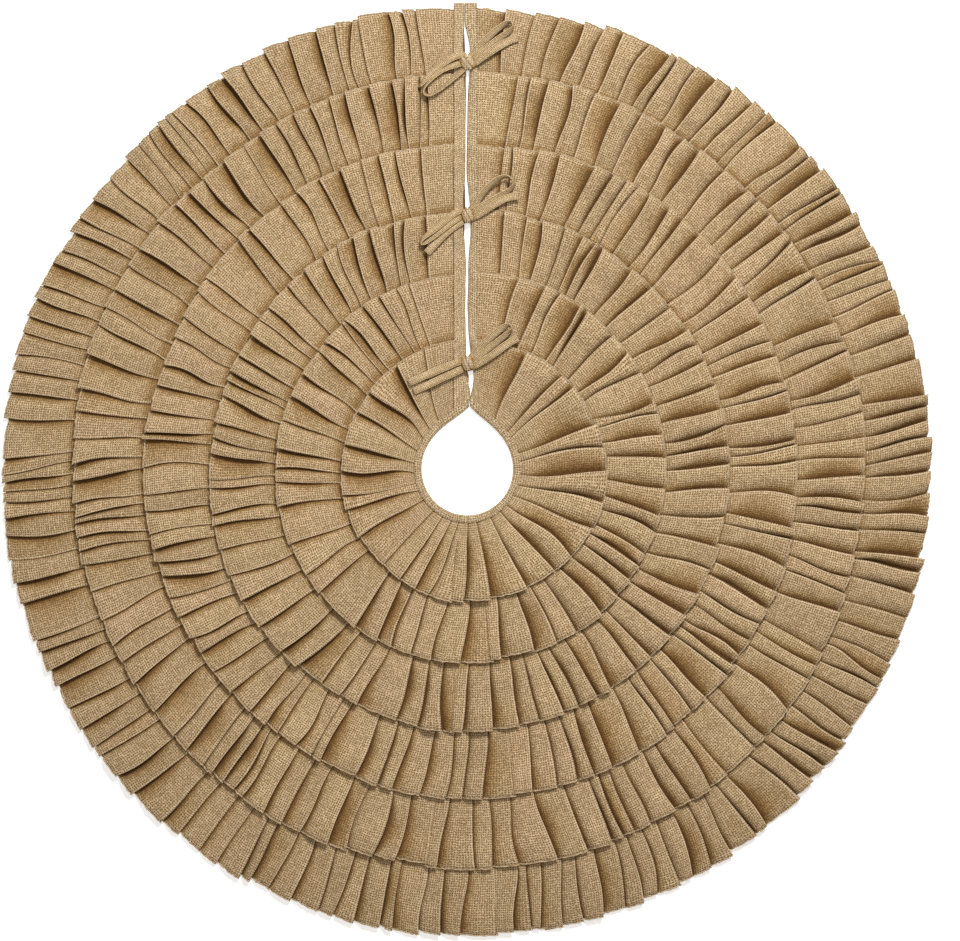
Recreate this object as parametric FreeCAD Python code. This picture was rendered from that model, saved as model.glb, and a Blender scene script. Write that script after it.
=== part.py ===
import FreeCAD, Part
import math
import os

from FreeCAD import Vector

# A round tree skirt: six pleated tiers sewn like shingles on a lined base cloth, a bound
# opening for the trunk, and one slit closed by three bows. Millimetres, +Z up. The origin is
# the middle of the trunk opening, on the floor, and the slit runs along +Y.

# Overall sizes
hem_radius = 610.0  # outermost hem, 48 inches across
first_hem_radius = 171.0  # hem of the innermost tier
neck_radius = 59.0  # finished opening round the trunk
tier_count = 6
band_growth = 1.034  # each visible band is this many times the one inside it

# Cloth thicknesses
lining_thick = 0.6
base_thick = 0.8
head_thick = 3.0  # a tier's gathered head, pressed flat by its seam
hem_thick = 9.0  # a tier's loose pleated hem
last_hem_thick = 10.0  # the outermost hem, which lies on the floor

# How the tiers lap
tier_lap = 16.0  # a hem covers the next tier's head by this much
lift_run = 22.0  # the run over which a tier rises onto the next head
perch_gap = 2.0  # between a tier's underside and the edge of the next head
layer_gap = 0.3
hem_rise = 2.0  # the next tier's own slope under the hem
base_setback = 12.0  # the base cloth ends this far inside the outermost hem

# Trunk opening and its binding
tip_ratio = 1.33  # the opening's point, towards the slit, in radii from the middle
binding_width = 9.0
binding_thick = 1.2

# Slit and its facings
slit_gap = 5.0
left_facing_width = 15.0
right_facing_width = 10.0
facing_thick = 1.4
facing_edge = 1.0  # the turned edge that covers the raw cloth at the slit

# Fold lines of the two flaps
flap_angle = 60.0  # each side of the slit
fold_gap = 0.5

# Bows: each tie is a folded strip, sewn to its own facing
tie_width = 10.5
tie_thick = 3.0
knot_half_width = 9.0
knot_length = 18.0
knot_top = 20.0
knot_gap = 1.0  # between the two ties' halves of a knot
knot_round = 2.5
tie_gap = 0.6  # a tie's strands above the highest ruffle
bow_places = [528.0, 329.0, 136.0]  # distance of each knot from the middle

# Where each strand of a bow ends, from its knot: outer, middle and inner bow
left_strands = [
    [(-66.0, -27.0), (-50.0, -44.0)],
    [(-62.0, -34.0), (-50.0, -50.0)],
    [(-76.0, -20.0), (-69.0, -35.0)],
]
right_strands = [
    [(66.0, 43.0), (66.0, 27.0)],
    [(60.0, 39.0), (64.0, 20.0)],
    [(52.0, 50.0), (62.0, 32.0)],
]

# Places that follow from the sizes above
base_top = lining_thick + base_thick
head_top = base_top + head_thick
perch_z = head_top + layer_gap
hem_low = perch_z + hem_rise
ruffle_top = hem_low + hem_thick
binding_top = head_top + binding_thick
facing_top = head_top + facing_thick
strand_z = ruffle_top + tie_gap
slit_edge = slit_gap / 2.0
base_radius = hem_radius - base_setback
tall = knot_top + 10.0
far = hem_radius * 1.5
up = Vector(0, 0, 1)


def hem_radii():
    """The six hems, from the innermost out: each band is a little wider than the last."""
    bands = tier_count - 1
    growth_sum = sum(band_growth**i for i in range(bands))
    band = (hem_radius - first_hem_radius) / growth_sum
    radii = [first_hem_radius]
    for i in range(bands):
        radii.append(radii[-1] + band * band_growth**i)
    return radii


def revolved(section):
    """A full ring from a closed outline of (radius, height) points."""
    points = [Vector(r, 0, z) for r, z in section]
    face = Part.Face(Part.makePolygon(points + points[:1]))
    return face.revolve(Vector(0, 0, 0), up, 360)


def disc(radius, low, high):
    return Part.makeCylinder(radius, high - low, Vector(0, 0, low))


def teardrop(radius, low, high):
    """A prism round the trunk opening: a circle drawn out to a point towards the slit."""
    tip = Vector(0, radius * tip_ratio, 0)
    open_angle = math.acos(1.0 / tip_ratio)
    left = Vector(-radius * math.sin(open_angle), radius * math.cos(open_angle), 0)
    right = Vector(-left.x, left.y, 0)
    arc = Part.Arc(left, Vector(0, -radius, 0), right).toShape()
    sides = [Part.makeLine(right, tip), Part.makeLine(tip, left)]
    face = Part.Face(Part.Wire([arc] + sides))
    prism = face.extrude(up * (high - low))
    prism.translate(Vector(0, 0, low))
    return prism


def box(x0, x1, y0, y1, z0, z1):
    return Part.makeBox(x1 - x0, y1 - y0, z1 - z0, Vector(x0, y0, z0))


def wedge(start, end):
    """A pie slice from one angle to another, counted from +X."""
    slice_ = Part.makeCylinder(far, tall + 2, Vector(0, 0, -1), up, end - start)
    slice_.rotate(Vector(0, 0, 0), up, start)
    return slice_


def fold_slots():
    """The thin gaps along the two fold lines, where a flap parts from the rest."""
    slots = []
    for angle in (90.0 - flap_angle, 90.0 + flap_angle):
        slot = box(0, far, -fold_gap / 2, fold_gap / 2, -1, tall + 1)
        slot.rotate(Vector(0, 0, 0), up, angle)
        slots.append(slot)
    return slots


def save(shape, node):
    if not shape.isValid() or len(shape.Solids) != 1:
        raise ValueError(node + " is not one valid solid")
    shape.Solids[0].exportStep("parts/" + node + ".step")
    print(node, round(shape.Volume / 1000.0, 2), "cm3")


# The four parts that every ring is cut into: two flaps beside the slit, and two back parts
# that meet in a seam opposite it.
left_fold = 90.0 + flap_angle
right_fold = 90.0 - flap_angle
places = {
    "flap_left": wedge(90.0, left_fold),
    "back_left": wedge(left_fold, 270.0),
    "back_right": wedge(-90.0, right_fold),
    "flap_right": wedge(right_fold, 90.0),
}


def save_ring(ring, name, slit):
    """Cuts a ring at the slit and at the fold lines, and saves its four parts."""
    cut = ring.cut(slit)
    for slot in fold_slots():
        cut = cut.cut(slot)
    for place, slice_ in places.items():
        save(cut.common(slice_).removeSplitter(), name + "_" + place)


def tier_section(tier, hems):
    """One tier from its sewn head out to its hem, which rests on the next tier's head."""
    hem = hems[tier]
    head = hems[tier - 1] - tier_lap if tier else neck_radius / 2.0
    if tier == tier_count - 1:
        low = [(head, base_top), (base_radius, base_top), (base_radius, 0), (hem, 0)]
        high = [(hem, last_hem_thick), (head, head_top)]
        return low + high
    perch = hem - tier_lap - perch_gap
    low = [(head, base_top), (perch - lift_run, base_top), (perch, perch_z), (hem, hem_low)]
    high = [(hem, ruffle_top), (head, head_top)]
    if tier == 0:
        flat_end = neck_radius * tip_ratio + binding_width
        high = [(hem, ruffle_top), (flat_end, head_top), (head, head_top)]
    return low + high


def make_cloths():
    edge = slit_edge + facing_edge
    slit = box(-edge, edge, 0, far, -1, tall)
    hole = teardrop(neck_radius + binding_thick, -1, tall)
    lining = disc(base_radius, 0, lining_thick).cut(hole)
    base = disc(base_radius, lining_thick, base_top).cut(hole)
    save_ring(lining, "lining", slit)
    save_ring(base, "base_cloth", slit)


def make_tiers():
    slit = box(-slit_edge - left_facing_width, slit_edge + right_facing_width, 0, far, -1, tall)
    hole = teardrop(neck_radius + binding_thick, -1, tall)
    hems = hem_radii()
    for tier in range(tier_count):
        ring = revolved(tier_section(tier, hems)).cut(hole)
        save_ring(ring, "tier_%d" % (tier + 1), slit)


def make_binding():
    slit = box(-slit_edge, slit_edge, 0, far, -1, tall)
    outer = teardrop(neck_radius + binding_width, 0, binding_top)
    covered = teardrop(neck_radius + binding_width + 1, -1, head_top)
    covered = covered.cut(teardrop(neck_radius + binding_thick, -1, head_top))
    ring = outer.cut(covered).cut(teardrop(neck_radius, -1, tall))
    save_ring(ring, "neck_binding", slit)


def make_facings():
    """A strip down each side of the slit, turned over the raw edge of the cloths."""
    clear = teardrop(neck_radius + binding_width + layer_gap, -1, tall)
    raw = slit_edge + facing_edge
    for side, width in (("left", left_facing_width), ("right", right_facing_width)):
        strip = box(slit_edge, slit_edge + width, 0, hem_radius, 0, facing_top)
        under = box(raw, slit_edge + width + 1, -1, hem_radius + 1, -1, base_top)
        strip = strip.cut(under)
        if side == "left":
            strip = strip.mirror(Vector(0, 0, 0), Vector(1, 0, 0))
        save(strip.cut(clear).removeSplitter(), "slit_facing_" + side)


def strand(end, place):
    """One flat strand of a bow, from the knot to where it ends."""
    length = math.hypot(end[0], end[1])
    flat = box(0, length, -tie_width / 2, tie_width / 2, strand_z, strand_z + tie_thick)
    flat.rotate(Vector(0, 0, 0), up, math.degrees(math.atan2(end[1], end[0])))
    flat.translate(Vector(0, place, 0))
    return flat


def make_ties():
    half = knot_length / 2
    for side, ends_of in (("left", left_strands), ("right", right_strands)):
        for i, place in enumerate(bow_places):
            low, high = (-knot_half_width, -knot_gap / 2)
            if side == "right":
                low, high = (knot_gap / 2, knot_half_width)
            knot = box(low, high, place - half, place + half, facing_top, knot_top)
            knot = knot.makeFillet(knot_round, knot.Edges)
            own_side = box(-far, high, 0, far, -1, tall)
            if side == "right":
                own_side = box(low, far, 0, far, -1, tall)
            tie = knot
            for end in ends_of[i]:
                tie = tie.fuse(strand(end, place).common(own_side))
            save(tie.removeSplitter(), "tie_%s_%d" % (side, i + 1))


os.makedirs("parts", exist_ok=True)
make_cloths()
make_tiers()
make_binding()
make_facings()
make_ties()
print("hems", [round(r, 1) for r in hem_radii()])
print("fold axis height", ruffle_top + layer_gap)
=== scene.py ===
# %% [markdown]
# A tree skirt lies on the floor round the foot of a tree. It is one round base cloth with six
# pleated tiers sewn on it like roof shingles, a bound opening for the trunk, and a slit that
# three bows close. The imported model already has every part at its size, as plain solids. This
# lesson turns each of them into cloth, and measures from them so that nothing needs fitting.

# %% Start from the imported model
import math

import bpy
import numpy as np
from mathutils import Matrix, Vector


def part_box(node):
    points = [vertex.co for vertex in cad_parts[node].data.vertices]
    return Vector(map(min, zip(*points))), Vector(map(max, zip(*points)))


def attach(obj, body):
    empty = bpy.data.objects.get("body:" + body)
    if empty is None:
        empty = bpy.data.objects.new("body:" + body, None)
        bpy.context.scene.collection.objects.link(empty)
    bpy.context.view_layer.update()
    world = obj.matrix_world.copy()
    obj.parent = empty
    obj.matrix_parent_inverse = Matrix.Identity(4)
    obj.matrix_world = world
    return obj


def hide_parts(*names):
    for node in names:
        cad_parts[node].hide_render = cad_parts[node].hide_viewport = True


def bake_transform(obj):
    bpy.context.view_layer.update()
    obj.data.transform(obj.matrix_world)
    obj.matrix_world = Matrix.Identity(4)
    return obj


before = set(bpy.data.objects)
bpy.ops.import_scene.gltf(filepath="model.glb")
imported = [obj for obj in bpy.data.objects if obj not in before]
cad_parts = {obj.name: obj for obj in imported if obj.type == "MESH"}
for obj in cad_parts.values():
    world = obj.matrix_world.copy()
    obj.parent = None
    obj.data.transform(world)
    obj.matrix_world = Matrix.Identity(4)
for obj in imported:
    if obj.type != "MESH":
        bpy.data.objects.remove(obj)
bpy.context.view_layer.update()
bpy.ops.object.select_all(action="DESELECT")
scene = bpy.context.scene
random = np.random.default_rng(20)
MM = 0.001

# %% [markdown]
# The camera hangs straight over the skirt on a long lens, so that the rings look round and the
# far hem isn't smaller than the middle. Setting the lens from the width that the picture has to
# hold keeps the framing when the camera is raised.

# %% Camera
camera_height = 3.7
picture_width = 1.2535
sensor_width = 36.0
over_place = (0.0165, -0.003)  # a little to the right of the trunk opening
camera_data = bpy.data.cameras.new("camera")
camera_data.sensor_width = sensor_width
camera_data.lens = sensor_width * camera_height / picture_width
camera = bpy.data.objects.new("camera", camera_data)
camera.location = (*over_place, camera_height)
scene.collection.objects.link(camera)
scene.camera = camera
print("a lens of", round(camera_data.lens, 1), "mm from", camera_height, "m up")

# %% [markdown]
# Cloth shows its pleats by the shade between them. One wide lamp high above gives soft shade in
# every fold, a smaller one to one side gives the folds an edge, and the sky fills the rest. The
# sky is a warm colour, because what reaches the bottom of a fold has bounced off brown cloth, and
# the lamps are a touch blue, so that the two together leave the pale floor white.

# %% Light and floor
lamp_colour = (1.0, 1.03, 1.08)
sky_colour = (1.0, 0.80, 0.56, 1.0)
sky_strength = 0.19
floor_colour = (0.93, 0.93, 0.925, 1.0)
floor_glow = 0.42  # a little light of its own, which keeps the floor even all over
floor_drop = 0.6 * MM  # the stitches under the lining stay above the floor


def soft_lamp(name, place, size, power):
    lamp = bpy.data.lights.new(name, "AREA")
    lamp.shape = "DISK"
    lamp.size = size
    lamp.energy = power
    lamp.color = lamp_colour
    holder = bpy.data.objects.new(name, lamp)
    holder.location = place
    holder.rotation_euler = (-Vector(place)).to_track_quat("-Z", "Y").to_euler()
    scene.collection.objects.link(holder)
    print(name, "of", power, "watts,", size, "m wide")


soft_lamp("key_lamp", (0.6, 1.8, 2.6), 0.8, 97.0)
soft_lamp("top_lamp", (-0.4, 0.0, 3.3), 1.6, 32.5)
sky = bpy.data.worlds.new("studio")
sky.use_nodes = True
sky.node_tree.nodes["Background"].inputs["Color"].default_value = sky_colour
sky.node_tree.nodes["Background"].inputs["Strength"].default_value = sky_strength
scene.world = sky
scene.view_settings.view_transform = "Standard"

bpy.ops.mesh.primitive_plane_add(size=40.0, location=(0.0, 0.0, -floor_drop))
floor = bpy.context.object
floor.name = "studio_floor"
floor_paint = bpy.data.materials.new("pale_floor")
floor_paint.use_nodes = True
floor_shader = floor_paint.node_tree.nodes["Principled BSDF"]
floor_shader.inputs["Base Color"].default_value = floor_colour
floor_shader.inputs["Roughness"].default_value = 0.85
floor_shader.inputs["Emission Color"].default_value = (1.0, 1.0, 1.0, 1.0)
floor_shader.inputs["Emission Strength"].default_value = floor_glow
floor.data.materials.append(floor_paint)

# %% [markdown]
# A material is a tree of nodes joined by wires. Made one call at a time, each node takes three or
# four lines, so a few short helpers come first: each adds one node, joins what it is given to its
# inputs, and hands back its output for the next call.

# %% Node helpers
class Wires:
    """Short calls for adding and joining shader nodes."""

    def __init__(self, material):
        self.tree = material.node_tree

    def add(self, kind, **settings):
        node = self.tree.nodes.new(kind)
        for key, value in settings.items():
            setattr(node, key, value)
        return node

    def put(self, socket, value):
        if isinstance(value, bpy.types.NodeSocket):
            self.tree.links.new(value, socket)
        else:
            socket.default_value = value

    def math(self, operation, *values):
        node = self.add("ShaderNodeMath", operation=operation)
        for socket, value in zip(node.inputs, values):
            self.put(socket, value)
        return node.outputs[0]

    def mix(self, amount, first, second, blend="MIX"):
        node = self.add("ShaderNodeMix", data_type="RGBA", blend_type=blend)
        self.put(node.inputs[0], amount)
        self.put(node.inputs[6], first)
        self.put(node.inputs[7], second)
        return node.outputs[2]

    def noise(self, vector, scale, detail=2.0):
        node = self.add("ShaderNodeTexNoise")
        self.put(node.inputs["Vector"], vector)
        node.inputs["Scale"].default_value = scale
        node.inputs["Detail"].default_value = detail
        return node.outputs["Fac"]

    def spread(self, value, low, high):
        node = self.add("ShaderNodeMapRange")
        self.put(node.inputs["Value"], value)
        node.inputs["To Min"].default_value = low
        node.inputs["To Max"].default_value = high
        return node.outputs["Result"]

    def point(self, x, y, z=0.0):
        node = self.add("ShaderNodeCombineXYZ")
        for socket, value in zip(node.inputs, (x, y, z)):
            self.put(socket, value)
        return node.outputs["Vector"]


# %% [markdown]
# Burlap is a plain weave of thick, uneven jute yarns. A picture of cloth could be laid on, but
# nodes keep the yarns sharp at any distance and give every piece its own. Each sheet's UV map
# holds the cloth's own flat coordinates in metres, so the yarns run along the cloth through every
# fold. Two rows of rounded yarns are crossed, noise drawn out along each yarn makes it thick and
# thin, every crossing gets its own height and tone, and the small holes between are darker. Each
# pleat carries a tone and a hue of its own. An attribute paints shade into the inside of a fold,
# green and blue more than red, as light does that bounces between layers of brown cloth, and
# paints a fold's edge lighter, partly as wear and partly as a painted highlight. The yarns are
# drawn about 3 mm apart, a little coarser than most burlap, so that they still show from far off.

# %% Woven cloth
yarn_stretch = 9.0  # noise along a yarn changes this many times slower than across it
yarn_noise = 70.0
# how dark the painted shade inside a fold may get
painted_fold_shade_strength = 0.8
wear_and_highlight_colour = (0.80, 0.62, 0.40, 1.0)


def woven(name, light, dark, pitch, depth, uneven=0.42, tone=True, folds=True):
    """A plain weave of the given yarn pitch in metres; depth scales its bump."""
    material = bpy.data.materials.new(name)
    material.use_nodes = True
    wires = Wires(material)
    shader = material.node_tree.nodes["Principled BSDF"]
    map_node = wires.add("ShaderNodeUVMap", uv_map="cloth")
    split = wires.add("ShaderNodeSeparateXYZ")
    wires.put(split.inputs[0], map_node.outputs["UV"])
    across, along = split.outputs["X"], split.outputs["Y"]
    wander = wires.noise(map_node.outputs["UV"], 90.0)
    across = wires.math("ADD", across, wires.math("MULTIPLY", wander, pitch * 0.9))
    along = wires.math("ADD", along, wires.math("MULTIPLY", wander, pitch * 0.7))
    turns = math.pi / pitch
    warp = wires.math("ABSOLUTE", wires.math("SINE", wires.math("MULTIPLY", across, turns)))
    weft = wires.math("ABSOLUTE", wires.math("SINE", wires.math("MULTIPLY", along, turns)))
    over = wires.math(
        "MULTIPLY",
        wires.math("COSINE", wires.math("MULTIPLY", across, turns)),
        wires.math("COSINE", wires.math("MULTIPLY", along, turns)),
    )
    warp_yarn = wires.noise(wires.point(wires.math("MULTIPLY", across, yarn_stretch), along), yarn_noise)
    weft_yarn = wires.noise(wires.point(across, wires.math("MULTIPLY", along, yarn_stretch)), yarn_noise)
    yarns = wires.math("ADD", warp_yarn, weft_yarn)
    cell = wires.add("ShaderNodeTexWhiteNoise", noise_dimensions="2D")
    column = wires.math("FLOOR", wires.math("DIVIDE", across, pitch))
    row = wires.math("FLOOR", wires.math("DIVIDE", along, pitch))
    wires.put(cell.inputs["Vector"], wires.point(column, row))
    crossing = wires.math("SUBTRACT", cell.outputs["Value"], 0.5)
    slub = wires.math("SUBTRACT", wires.noise(map_node.outputs["UV"], 0.75 / pitch, 1.0), 0.5)
    grain = wires.math("SUBTRACT", wires.noise(map_node.outputs["UV"], 2.0 / pitch, 0.0), 0.5)
    body = wires.math("MULTIPLY", wires.math("MAXIMUM", warp, weft), yarns)
    height = wires.math("ADD", body, wires.math("MULTIPLY", over, 0.25))
    height = wires.math("ADD", height, wires.math("MULTIPLY", crossing, 0.45))
    hole = wires.math("SUBTRACT", 1.0, wires.math("MAXIMUM", warp, weft))
    patch = wires.noise(map_node.outputs["UV"], 14.0, 3.0)
    shade = wires.math("MULTIPLY", wires.math("SUBTRACT", yarns, 1.0), uneven * 2.6)
    shade = wires.math("ADD", shade, wires.math("MULTIPLY", crossing, uneven * 1.6))
    shade = wires.math("ADD", shade, wires.math("MULTIPLY", grain, uneven * 8.5))
    shade = wires.math("ADD", shade, wires.math("MULTIPLY", slub, uneven * 1.6))
    blotch = wires.math("MULTIPLY", wires.math("SUBTRACT", patch, 0.5), 0.5)
    clamp = wires.add("ShaderNodeClamp")
    wires.put(clamp.inputs["Value"], wires.math("ADD", wires.math("ADD", shade, blotch), 0.5))
    colour = wires.mix(clamp.outputs[0], (*dark, 1.0), (*light, 1.0))
    if tone:
        own = wires.add("ShaderNodeAttribute", attribute_name="panel_tone")
        hue = wires.add("ShaderNodeAttribute", attribute_name="panel_hue")
        tint = wires.mix(hue.outputs["Fac"], (1.0, 0.985, 0.93, 1.0), (1.0, 0.955, 0.95, 1.0))
        tint = wires.mix(own.outputs["Fac"], (0.84, 0.815, 0.775, 1.0), tint)
        colour = wires.mix(1.0, colour, tint, "MULTIPLY")
    if folds:
        # painted shade inside the folds, and fold edges painted lighter, partly wear and partly a
        # painted highlight
        painted_shade_and_wear_in = wires.add("ShaderNodeAttribute", attribute_name="painted_shade_highlight_and_wear").outputs["Fac"]
        inside = wires.math("MAXIMUM", painted_shade_and_wear_in, 0.0)
        wear_and_highlight = wires.math("MAXIMUM", wires.math("MULTIPLY", painted_shade_and_wear_in, -1.0), 0.0)
        lit = wires.math("SUBTRACT", 1.0, wires.math("MULTIPLY", inside, painted_fold_shade_strength))
        deep = wires.point(lit, wires.math("POWER", lit, 1.4), wires.math("POWER", lit, 2.2))
        colour = wires.mix(1.0, colour, deep, "MULTIPLY")
        colour = wires.mix(wires.math("MULTIPLY", wear_and_highlight, 0.5), colour, wear_and_highlight_colour)
    holes = wires.math("MULTIPLY", wires.math("POWER", hole, 0.8), 1.7)
    holes = wires.math("MULTIPLY", holes, wires.math("ADD", slub, 0.75))
    colour = wires.mix(holes, colour, tuple(c * 0.30 for c in dark) + (1.0,))
    wires.put(shader.inputs["Base Color"], colour)
    wires.put(shader.inputs["Roughness"], wires.spread(yarns, 0.98, 0.82))
    shader.inputs["Specular IOR Level"].default_value = 0.08
    bump = wires.add("ShaderNodeBump")
    bump.inputs["Strength"].default_value = 0.75
    bump.inputs["Distance"].default_value = depth
    wires.put(bump.inputs["Height"], height)
    wires.put(shader.inputs["Normal"], bump.outputs["Normal"])
    print(name, "yarns", round(pitch / MM, 1), "mm apart")
    return material


# %% [markdown]
# All the burlap is one jute, a little different in tone from piece to piece: the ruffles, the base
# cloth, the narrow trims, the finer ties and the fluffy yarn along the hems. The lining is plain
# muslin, and the thread is a shade paler than the cloth that it holds.

# %% The cloths and the thread
jute_light = (0.75, 0.566, 0.346)
jute_dark = (0.366, 0.244, 0.119)
ruffle_burlap = woven("ruffle_burlap", jute_light, jute_dark, 3.0 * MM, 0.6 * MM)
base_burlap = woven("base_burlap", jute_light, jute_dark, 3.0 * MM, 0.6 * MM, tone=False)
trim_light = (0.74, 0.555, 0.335)
trim_dark = (0.35, 0.24, 0.12)
trim_burlap = woven("trim_burlap", trim_light, trim_dark, 2.9 * MM, 0.45 * MM, tone=False)
muslin_light = (0.74, 0.68, 0.56)
muslin_dark = (0.60, 0.53, 0.41)
muslin = woven("muslin", muslin_light, muslin_dark, 0.9 * MM, 0.15 * MM, 0.15, False)
yarn_light = (0.92, 0.72, 0.47)
yarn_dark = (0.44, 0.30, 0.15)
hem_yarn = woven("hem_yarn", yarn_light, yarn_dark, 1.8 * MM, 0.4 * MM, 0.6, False)
tie_light = (0.77, 0.58, 0.345)
tie_dark = (0.40, 0.275, 0.135)
tie_burlap = woven("tie_burlap", tie_light, tie_dark, 2.2 * MM, 0.45 * MM, tone=False)
thread_light = (0.80, 0.65, 0.44)
thread_dark = (0.62, 0.47, 0.28)
sewing_thread = woven("sewing_thread", thread_light, thread_dark, 0.3 * MM, 0.1 * MM, 0.2, False)

# %% [markdown]
# Every piece of cloth here is a grid: rows run from the sewn head to the hem, columns along the
# strip. A helper turns such a grid of points into a mesh, keeps the flat coordinates in its UV
# map and gives the sheet its real thickness with a Solidify modifier.

# %% Cloth from a grid of points
def cloth(name, points, flat, material, thickness, marks=None):
    """A sheet from rows x columns of points; flat holds its unfolded coordinates in metres."""
    rows, columns = points.shape[:2]
    index = np.arange(rows * columns).reshape(rows, columns)
    quads = np.stack(
        [index[:-1, :-1], index[1:, :-1], index[1:, 1:], index[:-1, 1:]], axis=-1
    ).reshape(-1, 4)
    mesh = bpy.data.meshes.new(name)
    mesh.vertices.add(rows * columns)
    mesh.vertices.foreach_set("co", points.reshape(-1, 3).astype(np.float32).ravel())
    mesh.loops.add(quads.size)
    mesh.loops.foreach_set("vertex_index", quads.ravel().astype(np.int32))
    mesh.polygons.add(len(quads))
    mesh.polygons.foreach_set("loop_start", np.arange(0, quads.size, 4, dtype=np.int32))
    mesh.update(calc_edges=True)
    mesh.polygons.foreach_set("use_smooth", np.ones(len(quads), bool))
    unfolded = mesh.uv_layers.new(name="cloth")
    unfolded.data.foreach_set("uv", flat.reshape(-1, 2)[quads.ravel()].astype(np.float32).ravel())
    for label, values in (marks or {}).items():
        layer = mesh.attributes.new(label, "FLOAT", "POINT")
        layer.data.foreach_set("value", values.astype(np.float32).ravel())
    mesh.materials.append(material)
    sheet = bpy.data.objects.new(name, mesh)
    scene.collection.objects.link(sheet)
    if thickness:
        wall = sheet.modifiers.new("thickness", "SOLIDIFY")
        wall.thickness = thickness
        wall.offset = 0.0
    return sheet


def smooth(x):
    """0 below 0, 1 above 1, and a soft S between them."""
    x = np.clip(x, 0.0, 1.0)
    return x * x * (3.0 - 2.0 * x)


# %% [markdown]
# The two sides of the slit can be folded back, so every ring of cloth is made as a left and a
# right half that meet opposite the slit.

# %% Where cloth folds
bend_run = 0.050


def fold_over(piece):
    """Bakes a piece's placement into its points."""
    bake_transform(piece)


def ring_nodes(name, side):
    """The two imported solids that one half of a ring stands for."""
    return [name + "_flap_" + side, name + "_back_" + side]


# %% [markdown]
# The rings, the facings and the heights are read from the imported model's boxes, so the cloth fits
# it without a second list of sizes. Only the trunk opening needs an outline of its own: on the
# real skirt the binding pulls it into an egg, with its point where the slit meets it.

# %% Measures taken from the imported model
tier_count = 6
binding_width = 9.0 * MM
hem_radii = [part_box("tier_%d_back_right" % (k + 1))[1].x for k in range(tier_count)]
base_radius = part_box("base_cloth_back_right")[1].x
neck_radius = -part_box("neck_binding_back_left")[0].y - binding_width
base_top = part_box("base_cloth_back_left")[1].z
left_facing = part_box("slit_facing_left")
right_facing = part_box("slit_facing_right")
slit_length = left_facing[1].y
tier_lap = 16.0 * MM  # a hem covers the head of the next tier by this much
tip_ratio = 1.39  # the opening's point, in radii from the middle
tip_lean = math.radians(2.1)  # the point sits a little to the right
print("hems at", [round(r, 3) for r in hem_radii], "opening radius", round(neck_radius, 4))


def opening_edge(radius, angle):
    """Distance from the middle to the trunk opening's outline, an egg with a point at +Y."""
    from_slit = np.abs((angle + tip_lean + math.pi / 2) % (2 * math.pi) - math.pi)
    point = (tip_ratio - 1.0) * np.exp(-((from_slit / math.radians(17.0)) ** 0.9))
    heel = 0.045 * ((1.0 - np.cos(from_slit)) / 2) ** 2
    return radius * (1.0 + point + heel)


# %% [markdown]
# A knife pleat folds the strip into three layers: out along the top to a sharp fold, back under
# to a hidden fold, and out again as the next pleat's top. All pleats here turn the same way
# round, so each fold lies on its neighbour and shades it. Near the hem the strip is free and the
# folds lift and spread. A simulation of some five hundred pleats of three touching layers would
# take far too long, so the layers are laid by formula, and slow and quick random changes in
# width, lean, lift and hem give each pleat its own shape.

# %% Pleats laid by formula
pleats_per_half = [14, 25, 36, 46, 55, 70]
tier_tone = [0.78, 0.72, 0.58, 0.72, 0.56, 0.34]  # from darker to paler cloth, 0 to 1
hem_offsets = [(8, -2), (5, 0), (3, -4), (5, -3), (2, -4), (0, -4)]  # mm right and up
seam_turn = [-9.0, 6.0, -4.0, 7.5, -6.5, 3.0]  # degrees from straight opposite the slit
cloth_thick = 0.8 * MM
hem_rows = 17
fullness = 2.5  # cut strip by the width that it covers at the head
top_steps = [0.0, 0.04, 0.09, 0.15, 0.22, 0.31, 0.42, 0.54, 0.66, 0.78, 0.89, 0.95]


def slow_noise(count, cycles):
    """A smooth random line through count places, from -1 to 1."""
    knots = random.uniform(-1.0, 1.0, cycles + 3)
    place = np.linspace(0.0, cycles + 1, count)
    whole = np.minimum(place.astype(int), cycles + 1)
    part = smooth(place - whole)
    return knots[whole] * (1.0 - part) + knots[whole + 1] * part


def fold_places(count, side):
    """Where the folds fall along a half ring, from 0 to 1, with a wide flat panel at the slit."""
    widths = np.exp(random.normal(0.0, 0.24, count)) + 0.18 * slow_noise(count, count // 5)
    widths = np.clip(widths, 0.5, 1.9)
    slit_end = 0 if side == "left" else -1
    widths[slit_end] = 1.7
    return np.concatenate([[0.0], np.cumsum(widths) / widths.sum()])


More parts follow.
